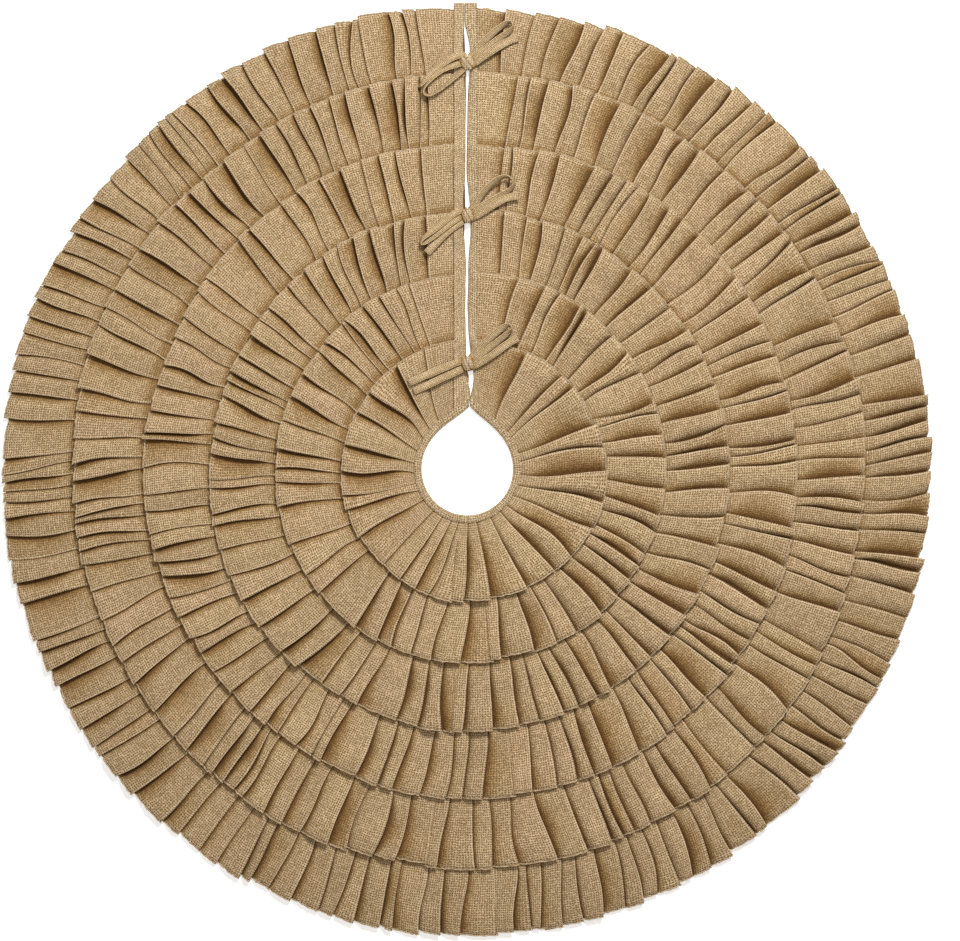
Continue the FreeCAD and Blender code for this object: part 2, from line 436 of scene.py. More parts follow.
def pleated_half(tier, side):
    """One half of one tier; returns its sheet, its hem line and its flat size."""
    count = pleats_per_half[tier]
    first = tier == 0
    last = tier == tier_count - 1
    hem = hem_radii[tier] - (5.0 * MM if last else 0.0)
    head = neck_radius + 3.0 * MM if first else hem_radii[tier - 1] - tier_lap
    edge = (-left_facing[0].x if side == "left" else right_facing[1].x) - 4.0 * MM
    places = fold_places(count, side)

    # where the rows lie, and how far round each of them goes
    seam = -math.pi / 2 + math.radians(seam_turn[tier])
    rows = np.linspace(0.0, 1.0, hem_rows) ** 0.9
    radii = head + rows * (hem - head)
    depth = hem - head
    if side == "left":
        start = math.pi / 2 + np.arcsin(edge / radii)
        turn = seam + 2 * math.pi + 7.0 * MM / radii - start
    else:
        start = np.full(hem_rows, seam)
        turn = math.pi / 2 - np.arcsin(edge / radii) - seam
    span = radii * turn

    # where each fold runs: it leans, sways and snakes, and lies straight beside the slit
    from_slit = places if side == "left" else 1.0 - places
    calm = smooth(from_slit * span[-1] / 0.09)[None, :]
    lean = 0.16 * slow_noise(count + 1, max(3, count // 6)) + random.normal(0, 0.035, count + 1)
    sway = random.normal(0, 0.022, count + 1) + 0.018 * slow_noise(count + 1, max(3, count // 5))
    snake = random.normal(0, 0.010, count + 1)
    v = rows[:, None]
    folds = places[None, :] * span[:, None]
    wander = lean[None, :] * v**1.3 + sway[None, :] * np.sin(math.pi * v)
    wander = wander + snake[None, :] * np.sin(2 * math.pi * v)
    wander[:, [0, -1]] = 0.0
    folds = folds + calm * depth * wander
    panel = np.diff(folds, axis=1)
    panel = np.maximum(panel, 5.0 * MM)
    folds = np.concatenate([folds[:, :1], folds[:, :1] + np.cumsum(panel, axis=1)], axis=1)

    # how far each pleat goes back under its neighbour
    strip = fullness * np.diff(places) * span[0]
    strip = np.maximum(strip, panel[-1] * 1.25)
    overlap = 0.5 * (strip[None, :] - panel)
    overlap = np.clip(overlap, 2.0 * MM, 0.82 * panel)

    # how high each fold stands: some lie shut, some gape
    head_lift = 2.4 * MM
    rest_lift = np.clip(random.normal(1.6, 0.8, count + 1), 0.4, 3.2) * MM
    kind = random.choice([0.15, 0.5, 0.95], count + 1, p=[0.40, 0.37, 0.23])
    gape = np.clip(kind + random.normal(0.0, 0.10, count + 1), 0.0, 1.1)
    gape[[0, -1]] = 0.15
    gape_at = random.uniform(0.55, 1.1, count + 1)
    gape_run = random.uniform(0.28, 0.65, count + 1)
    free = smooth((v - 0.10) / 0.35)
    gape = gape[None, :] * np.exp(-(((v - gape_at) / gape_run) ** 2)) * free * calm
    quiet = 0.3 + 0.7 * calm
    fold_top = head_lift + quiet * (1.4 * MM * v + (5.6 * MM) * gape + rest_lift[None, :] * free)
    fold_lift = fold_top[:, 1:]

    # what the strip lies on: the base cloth, then the next tier's head, or the floor
    seat = base_top + 0.5 * MM
    perch = base_top + (2.9 + 1.1 * calm[:, 1:]) * MM
    if last:
        droop = smooth((radii - (base_radius - 14.0 * MM)) / (14.0 * MM))[:, None]
        ground = seat - (seat - 0.55 * MM) * droop
    else:
        climb = smooth((radii - (hem - tier_lap - 26.0 * MM)) / (24.0 * MM))[:, None]
        ground = seat + (perch - seat) * climb

    # how far out the hem comes, pleat by pleat, in steps and slow waves
    saw = random.uniform(0.5, 4.5, count) if last else random.uniform(-0.5, 2.6, count)
    step = random.normal(0.0, 1.3 if last else 0.8, count)
    wave = 2.9 * slow_noise(count, max(3, count // 5))

    def hem_edge_at(t):
        return (saw * (t - 0.5) + step + wave) * MM

    # the rise from the hidden fold to the top one, and the dents in the cloth
    channel = (1.4 + 4.8 * gape[:, :-1]) * MM
    climb_run = panel * (random.uniform(0.22, 0.5, count)[None, :] + 0.42 * gape[:, :-1])
    low = 0.35 * MM + 0.5 * MM * v * random.uniform(0.3, 1.0, count)[None, :]
    crown = random.uniform(0.1, 1.3, count)[None, :] * MM * free
    dent = random.normal(0.0, 0.7, count)[None, :] * MM
    dent_place = random.uniform(0.3, 0.9, count)[None, :]
    dent = dent * np.exp(-(((v - dent_place) / 0.16) ** 2)) * free

    # painted shade under the hem above, and the pale fuzz along this hem
    under_hem = 0.0 * radii
    if not first:
        past_hem = radii - hem_radii[tier - 1]
        close_shade = 0.46 * np.exp(-np.maximum(past_hem, 0) / (3.8 * MM))
        under_hem = np.where(past_hem > 0, close_shade, 0.45)
    hem_fuzz = 0.55 * smooth((v - 0.965) / 0.03)

    # the columns of one pleat, from under the neighbour, out along the top and back under
    # painted shade for the layers hidden under a fold, less of it in the last tier near its hem
    hidden = 1.0 - (0.7 if last else 0.0) * smooth((v - 0.80) / 0.12)
    columns = []

    def lay(along, height, hem_out, shade):
        columns.append((along, ground + height, hem_out, shade + 0.0 * panel))

    back = np.concatenate([overlap[:, :1] * 0.4, overlap[:, :-1]], axis=1)
    for s in (1.0, 0.75, 0.5, 0.25):
        lay(folds[:, :-1] - s * back, 0.38 * MM + 0 * panel, hem_edge_at(0.0) - 0.5 * MM, hidden)
    for t in top_steps:
        past = np.clip((t * panel - 0.5 * channel) / climb_run, 0.0, 1.0)
        height = low + (fold_lift - low) * (1.0 - (1.0 - past) ** 2.2)
        height = height + (crown + dent) * math.sin(math.pi * t) * past
        # painted shade: the higher the fold before a place stands over it, the darker it is painted
        slope = np.maximum(fold_top[:, :-1] - height, 0.0) / (t * panel + 1.6 * MM)
        shade = 0.97 * (1.0 - 1.0 / (1.0 + (1.9 * slope) ** 1.4)) + under_hem[:, None] - hem_fuzz
        # more painted shade along the start of each panel under the fold lying on it, and a lighter band
        # before its own fold edge, partly wear and partly a painted highlight
        painted_tuck_shade = (0.22 + 0.5 * gape[:, :-1]) * free * np.exp(-t * panel / (2.0 * MM))
        shade = shade + painted_tuck_shade - 0.5 * (t > 0.93)
        lay(folds[:, :-1] + t * panel, height, hem_edge_at(t), shade)
    round_over = 0.75 * MM
    crease = hem_edge_at(1.0)
    # the fold's rounded edge is painted lighter, partly wear and partly a painted highlight, with
    # painted shade just under it
    lay(folds[:, 1:] - 0.1 * round_over, fold_lift + 0.05 * MM, crease, under_hem[:, None] - 0.9)
    lay(folds[:, 1:] + 0.55 * round_over, fold_lift - 0.45 * MM, crease, under_hem[:, None] - 0.4)
    lay(folds[:, 1:] + 0.15 * round_over, fold_lift - 1.15 * MM, crease - 0.2 * MM, 0.9)
    for s in (0.2, 0.4, 0.6, 0.8):
        under = (fold_lift - 1.2 * MM) * (1.0 - s) + 1.15 * MM * s
        lay(folds[:, 1:] - s * overlap, under, crease - 0.5 * MM, hidden)
    lay(folds[:, 1:] - overlap + 0.1 * MM, 1.1 * MM + 0 * panel, crease - 0.6 * MM, hidden)

    # the columns of all pleats together, turned round the middle
    steps = len(columns)
    shape = (hem_rows, count * steps)
    along = np.stack([c[0] for c in columns], axis=-1).reshape(shape)
    height = np.stack([np.broadcast_to(c[1], panel.shape) for c in columns], axis=-1).reshape(shape)
    shade = np.stack([c[3] for c in columns], axis=-1).reshape(shape)
    out = np.stack([c[2] for c in columns], axis=-1).reshape(count * steps)
    fray = random.normal(0.0, 0.35, count * steps) * MM
    angle = start[:, None] + along / radii[:, None]
    shift = np.array(hem_offsets[tier]) * MM
    hem_here = hem + out[None, :] + fray[None, :]
    hem_here = hem_here + shift[0] * np.cos(angle) + shift[1] * np.sin(angle)
    head_here = opening_edge(head, angle) if first else head
    radius = head_here + v * (hem_here - head_here)
    points = np.stack([radius * np.cos(angle), radius * np.sin(angle), height], axis=-1)

    # the strip's own length is measured along the row in its middle
    middle = points[hem_rows // 2]
    lengths = np.linalg.norm(np.diff(middle, axis=0), axis=1)
    unrolled = np.concatenate([[0.0], np.cumsum(lengths)])
    flat = np.stack(np.broadcast_arrays(unrolled[None, :], v * depth), axis=-1)
    tone = np.repeat(np.clip(random.normal(tier_tone[tier], 0.22, count), 0.0, 1.0), steps)
    hue = np.repeat(np.clip(random.normal(0.4, 0.35, count), 0.0, 1.0), steps)
    name = "tier_%d_ruffle_%s" % (tier + 1, side)
    marks = {
        "panel_tone": np.broadcast_to(tone, shape),
        "panel_hue": np.broadcast_to(hue, shape),
        "painted_shade_highlight_and_wear": np.clip(shade, -1.0, 1.0),
    }
    sheet = cloth(name, points, flat, ruffle_burlap, cloth_thick, marks)
    return sheet, points, (float(unrolled[-1]), float(depth))


# %% [markdown]
# The hem of each strip is overcast with a soft jute yarn. It catches the light as a thin pale
# line. A slim tube along the hem row, thick and thin by turns, is the plainest way to make it.

# %% A yarn along a line
def yarn_tube(name, line, thickness, material, sides=5):
    """A closed tube along a line of points, its thickness given point by point."""
    count = len(line)
    ahead = np.gradient(line, axis=0)
    ahead /= np.linalg.norm(ahead, axis=1)[:, None] + 1e-12
    over = np.cross(ahead, np.array([0.0, 0.0, 1.0]))
    over /= np.linalg.norm(over, axis=1)[:, None] + 1e-9
    rise = np.cross(over, ahead)
    turn = np.linspace(0.0, 2 * math.pi, sides, endpoint=False)
    ring = np.cos(turn)[None, :, None] * over[:, None] + np.sin(turn)[None, :, None] * rise[:, None]
    points = line[:, None] + ring * thickness[:, None, None]
    index = np.arange(count * sides).reshape(count, sides)
    follow = np.roll(index, -1, axis=1)
    quads = np.stack([index[:-1], index[1:], follow[1:], follow[:-1]], axis=-1).reshape(-1, 4)
    faces = quads.tolist() + [index[0].tolist(), index[-1][::-1].tolist()]
    mesh = bpy.data.meshes.new(name)
    mesh.from_pydata(points.reshape(-1, 3).tolist(), [], faces)
    mesh.polygons.foreach_set("use_smooth", np.ones(len(faces), bool))
    run = np.concatenate([[0.0], np.cumsum(np.linalg.norm(np.diff(line, axis=0), axis=1))])
    unfolded = mesh.uv_layers.new(name="cloth")
    corners = np.array([v for face in faces for v in face])
    girth = 2 * math.pi * float(np.mean(thickness)) / sides
    coordinates = np.stack([run[corners // sides], (corners % sides) * girth], axis=-1)
    unfolded.data.foreach_set("uv", coordinates.astype(np.float32).ravel())
    mesh.materials.append(material)
    tube = bpy.data.objects.new(name, mesh)
    scene.collection.objects.link(tube)
    return tube


# %% [markdown]
# A tier is sewn down only at its head, and its ruffle and its hem yarn are treated alike. The
# order of sewing is from the opening outwards. The points near the slit are kept, because the
# facings and the bows will lie on them.

# %% A tier on the base cloth
ruffle_tops = []


def sew_tier(tier):
    """Both halves of one tier with their hem yarns."""
    for side in ("left", "right"):
        sheet, points, flat_size = pleated_half(tier, side)
        line = points[-1] + np.array([0.0, 0.0, 0.45 * MM])
        rough = 0.80 * MM * (1.0 + 0.5 * random.uniform(-1.0, 1.0, len(line)))
        hem = yarn_tube("tier_%d_hem_%s" % (tier + 1, side), line, rough, hem_yarn)
        ruffle_tops.append(points[(np.abs(points[..., 0]) < 0.11) & (points[..., 1] > 0.06)])
        for piece in (sheet, hem):
            fold_over(piece)
        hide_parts(*ring_nodes("tier_%d" % (tier + 1), side))
        print(sheet.name, "cut", [round(x, 3) for x in flat_size], "faces", len(sheet.data.polygons))


# %% [markdown]
# The two edges of the slit never lie quite straight. They touch at the hem and at the trunk
# opening, lie close between the bows, and stand further apart on both sides of each knot. So the
# slit is a narrow gap with three wider openings in it, and its middle wanders a little.

# %% The line of the slit
knot_places = [0.528, 0.329, 0.136]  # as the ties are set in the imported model
slit_openings = [  # where each starts, is widest from and to, and ends, in metres; its width in mm
    (0.094, 0.122, 0.127, 0.180, 8.6),
    (0.268, 0.312, 0.345, 0.386, 8.8),
    (0.474, 0.547, 0.549, 0.583, 8.8),
]
narrow_at = [0.096, 0.112, 0.175, 0.215, 0.245, 0.300, 0.386, 0.478, 0.570, 0.585]
narrow_gap = [0.9, 2.2, 4.3, 3.1, 3.8, 3.6, 2.4, 2.6, 2.4, 0.8]  # mm
middle_at = [
    0.080, 0.104, 0.122, 0.138, 0.175, 0.215, 0.242, 0.312,
    0.352, 0.388, 0.480, 0.512, 0.549, 0.580, 0.612,
]
middle_shift = [  # mm to the right
    3.0, 4.9, 4.0, 2.1, -0.2, -1.2, -0.4, 0.1, -1.4, -2.0, -0.5, 0.1, -1.0, -3.7, -4.2,
]


def slit_middle(y):
    """How far to the right of x = 0 the slit's middle lies."""
    return np.interp(y, middle_at, middle_shift) * MM


def slit_gap(y):
    """How far apart the slit's two edges are."""
    gap = np.interp(y, narrow_at, narrow_gap)
    for start, wide_from, wide_to, end, width in slit_openings:
        share = smooth((y - start) / (wide_from - start)) * smooth((end - y) / (end - wide_to))
        gap = gap + (width - gap) * share
    return gap * MM


print("the slit is", [round(float(slit_gap(y)) / MM, 1) for y in knot_places], "mm wide at the knots")


# %% [markdown]
# The base cloth and the muslin lining under it are flat rounds. They show at the slit, from
# below and where a flap is folded back. Their UV map holds their place on the floor. A flat sheet
# needs few faces, except where it bends: there its columns lie close and along the fold line, so
# that both rounds turn alike and neither comes through the other.

# %% Base cloth and lining
flap_angle = math.radians(60.0)  # from the slit to each fold line


def flat_half(name, side, material, height, thickness, radius):
    """Half of a flat round of cloth, with columns laid along the fold line where it bends."""
    inner = neck_radius + 1.5 * MM
    v = np.linspace(0.0, 1.0, 70)[:, None]
    radii = inner + v * (radius - inner)
    turn = -1.0 if side == "left" else 1.0
    edge = slit_gap(radii) / 2 + turn * slit_middle(radii) + 1.9 * MM
    fold = flap_angle
    bend = np.minimum(bend_run + 4.0 * MM, 0.76 * radii)
    near_slit = np.arcsin(edge / radii)
    bend_end = fold - np.arcsin(bend / radii)
    flap = near_slit + (bend_end - near_slit) * np.linspace(0.0, 1.0, 30)[None, :-1]
    bent = fold - np.arcsin(bend / radii * np.linspace(1.0, 0.0, 37)[None, :-1])
    back = fold + (math.pi - fold) * np.linspace(0.0, 1.0, 46)[None, :] + 0.0 * radii
    from_slit = np.concatenate([flap, bent, back], axis=1)
    angle = math.pi / 2 - turn * from_slit
    if side == "right":
        angle = angle[:, ::-1]
    near = opening_edge(inner, angle)
    distance = near + v * (radius - near)
    x, y = distance * np.cos(angle), distance * np.sin(angle)
    points = np.stack([x, y, np.full_like(x, height)], axis=-1)
    return cloth(name, points, np.stack([x, y], axis=-1), material, thickness)


def lay_round(node, side, material, height, thickness, radius):
    """Half of the base cloth or of the lining, on the floor."""
    sheet = flat_half(node + "_round_" + side, side, material, height, thickness, radius)
    fold_over(sheet)
    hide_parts(*ring_nodes(node, side))
    print(sheet.name, "cut", [round(radius, 3), round(2 * radius, 3)])


# %% [markdown]
# The rounds are laid first, the lining lowest, and then the tiers are sewn on in their order.

# %% Lay the rounds and sew the six tiers
lining_radius = base_radius - 4.0 * MM
for side in ("left", "right"):
    lay_round("base_cloth", side, base_burlap, 1.0 * MM, 0.7 * MM, base_radius)
    lay_round("lining", side, muslin, 0.3 * MM, 0.4 * MM, lining_radius)
for tier in range(tier_count):
    sew_tier(tier)

# %% [markdown]
# What lies on the ruffles has to follow their tops. The sewn tiers leave a list of their points
# near the slit, and this helper answers how high the cloth comes round any place there.

# %% How high the ruffles come
tops = np.concatenate(ruffle_tops)


def cloth_height(x, y, reach):
    """The highest ruffle point within reach of a place, in metres."""
    near = (np.abs(tops[:, 0] - x) < reach) & (np.abs(tops[:, 1] - y) < reach)
    return float(tops[near, 2].max()) if near.any() else base_top


def curve_through(points, per_span):
    """A smooth line through a few chosen points."""
    points = np.asarray(points, float)
    ends = np.concatenate([2 * points[:1] - points[1:2], points, 2 * points[-1:] - points[-2:-1]])
    t = np.linspace(0.0, 1.0, per_span, endpoint=False)[:, None]
    spans = []
    for a, b, c, d in zip(ends[:-3], ends[1:-2], ends[2:-1], ends[3:]):
        cubic = (3 * b - a - 3 * c + d) * t**3 + (2 * a - 5 * b + 4 * c - d) * t**2
        spans.append(0.5 * (cubic + (c - a) * t) + b)
    return np.concatenate(spans + [points[-1:]])


# %% [markdown]
# A bias strip is folded round the raw edge of the trunk opening and stitched down. Its outline is
# a circle drawn out to a point at the slit, and its section is a soft U: under, round the edge,
# and back over the heads of the first pleats, with the small puckers that a bias strip gets. The
# section is a short list of points, out from the edge and up, and it is swept round the outline.

# %% Binding of the trunk opening
binding_section = np.array([
    (8.7, 4.95), (9.0, 5.45), (8.2, 5.75), (6.4, 5.7), (4.2, 5.75), (2.2, 5.6), (0.9, 5.0),
    (0.15, 3.9), (0.0, 2.6), (0.2, 1.2), (0.9, 0.45), (2.2, 0.35),
]) * MM
binding_ends = {"left": 2.3 * MM, "right": 3.7 * MM}  # where each half stops, from the middle


def sew_binding(side):
    """One half of the binding; returns the line of its seam."""
    columns = 190
    reach_out = binding_section[:, :1]
    rise = binding_section[:, 1:]
    radii = neck_radius + reach_out
    end_turn = np.arcsin(binding_ends[side] / (radii * tip_ratio))
    start = math.pi / 2 - end_turn if side == "left" else -math.pi / 2 + 0 * radii
    turn = math.pi + end_turn if side == "left" else math.pi - end_turn
    u = np.linspace(0.0, 1.0, columns)[None, :]
    angle = start + u * turn
    pucker = random.normal(0.0, 1.0, columns)
    pucker = np.convolve(pucker, [0.25, 0.5, 0.25], "same")[None, :]
    over = np.exp(-(((reach_out - 6.8 * MM) / (2.4 * MM)) ** 2)) * (rise > 4.5 * MM)
    distance = opening_edge(radii, angle) + 0.16 * MM * pucker * over
    height = rise + 0.22 * MM * pucker * over
    points = np.stack([distance * np.cos(angle), distance * np.sin(angle), height], axis=-1)
    length = float(neck_radius * math.pi * 1.06)
    section_steps = np.linalg.norm(np.diff(binding_section, axis=0), axis=1)
    across = np.concatenate([[0], np.cumsum(section_steps)])
    flat = np.stack(np.broadcast_arrays(u * length, across[:, None]), axis=-1)
    # painted shade along the cloth's turn at the opening's edge
    shade = np.broadcast_to(0.25 * (reach_out < 0.6 * MM), points.shape[:2])
    marks = {"painted_shade_highlight_and_wear": shade}
    strip = cloth("neck_binding_" + side, points, flat, trim_burlap, 0.55 * MM, marks)
    fold_over(strip)
    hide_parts(*ring_nodes("neck_binding", side))
    return points[3] + np.array([0.0, 0.0, 0.35 * MM])


# %% [markdown]
# The same strip runs up both sides of the slit. It is folded over the raw edges and stitched, so
# it hides where the ruffles end. Its inner edge keeps to the line of the slit. Its outer edge lies
# on the ruffles, so its height there follows the list of their points, averaged along the strip
# because the folded cloth is too stiff to dip into each gap.

# %% Facings along the slit
facing_rows = [1.0, 0.97, 0.9, 0.72, 0.5, 0.3, 0.14]  # from the outer edge in to the slit
turned_edge = [(0.7, 4.3), (0.1, 3.5), (0.0, 2.4), (0.1, 1.3), (0.7, 0.5), (2.4, 0.35)]  # mm


def sew_facing(side):
    """One facing; returns the line of its seam."""
    turn = -1.0 if side == "left" else 1.0
    own = left_facing if side == "left" else right_facing
    outer = abs(own[0].x) if side == "left" else own[1].x
    share_up = np.linspace(0.0, 1.0, 176)

    def rows_from(x):
        """Places along the strip at this distance from the slit, from under the binding up."""
        foot = 84.0 * MM
        for _ in range(8):
            turned = np.array(math.pi / 2 - math.atan2(x, foot))
            reach = float(opening_edge(neck_radius + 5.0 * MM, turned))
            foot = math.sqrt(max(reach**2 - x * x, 1e-6))
        return foot + share_up * (slit_length - 3.0 * MM - foot)

    y = rows_from(2.0 * MM)
    gap_edge = slit_gap(y) / 2 + turn * slit_middle(y) + 0.25 * MM * slow_noise(len(y), 26)
    outer_edge = outer + 0.35 * MM * slow_noise(len(y), 30)
    hide = np.array([cloth_height(turn * (outer - 3.0 * MM), place, 6.0 * MM) for place in y])
    hide = np.convolve(np.pad(hide, 2, "edge"), np.ones(5) / 5, "valid")
    crest = np.maximum(hide + 0.75 * MM, 5.0 * MM)
    inner_top = 4.5 * MM + 0.25 * (crest - 5.0 * MM)
    outer_y = rows_from(outer)
    lines = [np.stack([turn * (outer_edge - 0.9 * MM), outer_y, crest - 0.75 * MM], axis=-1)]
    for share in facing_rows:
        x = gap_edge + share * (outer_edge - gap_edge)
        z = inner_top + (crest - inner_top) * smooth(share * 1.15)
        lines.append(np.stack([turn * x, rows_from(float(x[0])), z], axis=-1))
    for inward, z in turned_edge:
        lines.append(np.stack([turn * (gap_edge + inward * MM), y, np.full_like(y, z * MM)], axis=-1))
    points = np.stack(lines)
    lengths = np.linalg.norm(np.diff(points, axis=0), axis=2).mean(axis=1)
    across = np.concatenate([[0.0], np.cumsum(lengths)])
    flat = np.stack(np.broadcast_arrays(across[:, None], y[None, :]), axis=-1)
    # painted shadow under the facing's turned outer edge, and the top of that edge painted a little
    # lighter
    depth = np.zeros(points.shape[:2])
    depth[0] = 0.9
    depth[1] = -0.25
    strip = cloth("facing_" + side, points, flat, trim_burlap, 0.6 * MM, {"painted_shade_highlight_and_wear": depth})
    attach(strip, "flap_" + side)
    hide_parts("slit_facing_" + side)
    return 0.75 * points[3] + 0.25 * points[4] + np.array([0.0, 0.0, 0.35 * MM])


# %% [markdown]
# One stitch is modelled as a small bar with pinched ends, and a row of stitches is that bar
# copied along a line. A curve drawn out as a thread would cost far more faces, and the part
# of a stitch that is inside the cloth never shows. With a dozen faces each, even the long seams
# under the skirt stay light.

# %% One stitch
def model_stitch():
    bpy.ops.object.select_all(action="DESELECT")
    bpy.ops.mesh.primitive_cube_add(size=1.0)
    bar = bpy.context.object
    bar.scale = (1.3 * MM, 0.55 * MM, 0.4 * MM)
    bpy.ops.object.transform_apply(location=False, rotation=False, scale=True)
    for end in (-1, 1):
        bpy.ops.object.mode_set(mode="EDIT")
        bpy.ops.mesh.select_mode(type="FACE")
        bpy.ops.mesh.select_all(action="DESELECT")
        bpy.ops.object.mode_set(mode="OBJECT")
        for face in bar.data.polygons:
            face.select = face.normal.x * end > 0.9
        bpy.ops.object.mode_set(mode="EDIT")
        push = {"value": (end * 0.45 * MM, 0.0, -0.12 * MM)}
        bpy.ops.mesh.extrude_region_move(TRANSFORM_OT_translate=push)
        bpy.ops.transform.resize(value=(1.0, 0.4, 0.4))
        bpy.ops.object.mode_set(mode="OBJECT")
    corners = np.array([v.co[:] for v in bar.data.vertices])
    faces = [list(face.vertices) for face in bar.data.polygons]
    bpy.data.objects.remove(bar)
    print("a stitch has", len(faces), "faces")
    return corners, faces


stitch_corners, stitch_faces = model_stitch()


def stitch_row(name, line, pitch, up=1.0, scale=1.0):
    """Copies of the stitch along a line of points, all in one piece."""
    run = np.concatenate([[0.0], np.cumsum(np.linalg.norm(np.diff(line, axis=0), axis=1))])
    places = np.arange(pitch, run[-1] - pitch, pitch)
    places = places + random.normal(0.0, 0.05, len(places)) * pitch
    spot = np.stack([np.interp(places, run, line[:, k]) for k in range(3)], axis=-1)
    next_spot = np.stack([np.interp(places + 0.5 * MM, run, line[:, k]) for k in range(3)], axis=-1)
    ahead = next_spot - spot
    ahead /= np.linalg.norm(ahead, axis=1)[:, None]
    side = np.cross(np.array([0.0, 0.0, up]), ahead)
    side /= np.linalg.norm(side, axis=1)[:, None]
    top = np.cross(ahead, side)
    size = random.normal(scale, 0.08, len(places))[:, None, None]
    own = stitch_corners[None] * size
    laid = spot[:, None] + own[..., :1] * ahead[:, None] + own[..., 1:2] * side[:, None]
    laid = laid + own[..., 2:3] * top[:, None]
    step = len(stitch_corners)
    faces = [[v + i * step for v in face] for i in range(len(places)) for face in stitch_faces]
    mesh = bpy.data.meshes.new(name)
    mesh.from_pydata(laid.reshape(-1, 3).tolist(), [], faces)
    mesh.polygons.foreach_set("use_smooth", np.ones(len(faces), bool))
    unfolded = mesh.uv_layers.new(name="cloth")
    corner = np.array([v for face in faces for v in face])
    spread_out = laid.reshape(-1, 3)[corner, :2]
    unfolded.data.foreach_set("uv", spread_out.astype(np.float32).ravel())
    mesh.materials.append(sewing_thread)
    row = bpy.data.objects.new(name, mesh)
    scene.collection.objects.link(row)
    print(name, len(places), "stitches")
    return row


# %% [markdown]
# Each tier's head is sewn through the base cloth and the lining, so its seam shows underneath as
# a ring of stitches. It is the only thing to see when a flap is folded back.

# %% Seams on the underside
def under_seams(side):
    """The five rings of stitches under one half, joined in one piece."""
    rings = []
    for tier in range(1, tier_count):
        radius = hem_radii[tier - 1] - tier_lap + 4.0 * MM
        near_slit = math.asin(16.0 * MM / radius)
        from_slit = np.linspace(near_slit, math.pi - 0.01, 500)
        angle = math.pi / 2 + (from_slit if side == "left" else -from_slit)
        wobble = 0.5 * MM * slow_noise(len(angle), 40)
        out = radius + wobble
        ring = np.stack([out * np.cos(angle), out * np.sin(angle), -0.05 * MM + 0 * angle], axis=-1)
        rings.append(stitch_row("seam_%d_%s" % (tier, side), ring, 4.6 * MM, up=-1.0, scale=1.7))
    bpy.ops.object.select_all(action="DESELECT")
    for ring in rings:
        ring.select_set(True)
    bpy.context.view_layer.objects.active = rings[0]
    bpy.ops.object.join()
    seams = bpy.context.object
    seams.name = "under_seams_" + side
    seams.select_set(False)
    fold_over(seams)
    print(seams.name, "faces", len(seams.data.polygons))


under_seams("left")
under_seams("right")

# %% [markdown]
# The binding is sewn first and the facings over its ends. Each strip gets its row of stitches,
# which rides with it: the binding's row is placed as the binding is, and the facing's row moves
# with its flap.

# %% Sew the trims on
for side in ("left", "right"):
    seam = sew_binding(side)
    row = stitch_row("neck_stitches_" + side, seam, 3.4 * MM)
    fold_over(row)
    seam = sew_facing(side)
    row = stitch_row("facing_stitches_" + side, seam, 3.4 * MM)
    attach(row, "flap_" + side)

# %% [markdown]
# Six ties close the slit in three bows. A tie is a strip folded double and stitched along one
# edge, so its section is a flat tube with a thin lip. Each tie gives its half of a knot, a loop
# and a tail. The loops stand partly on edge, as stiff jute does, so a roll angle goes with each
# point of a route. Routes are a few given points, in millimetres from the knot.

# %% The strands of a tie
tie_width = 9.4 * MM
tie_thick = 2.6 * MM
strand_height = 13.0 * MM  # of a knot's middle, where the routes count their heights from
section_across = np.array([1.0, 0.86, 0.76, 0.66, 0.4, 0.0, -0.5, -0.88, -1.0])
section_thick = np.array([0.12, 0.40, 0.30, 0.72, 0.92, 1.0, 0.95, 0.62, 0.0])


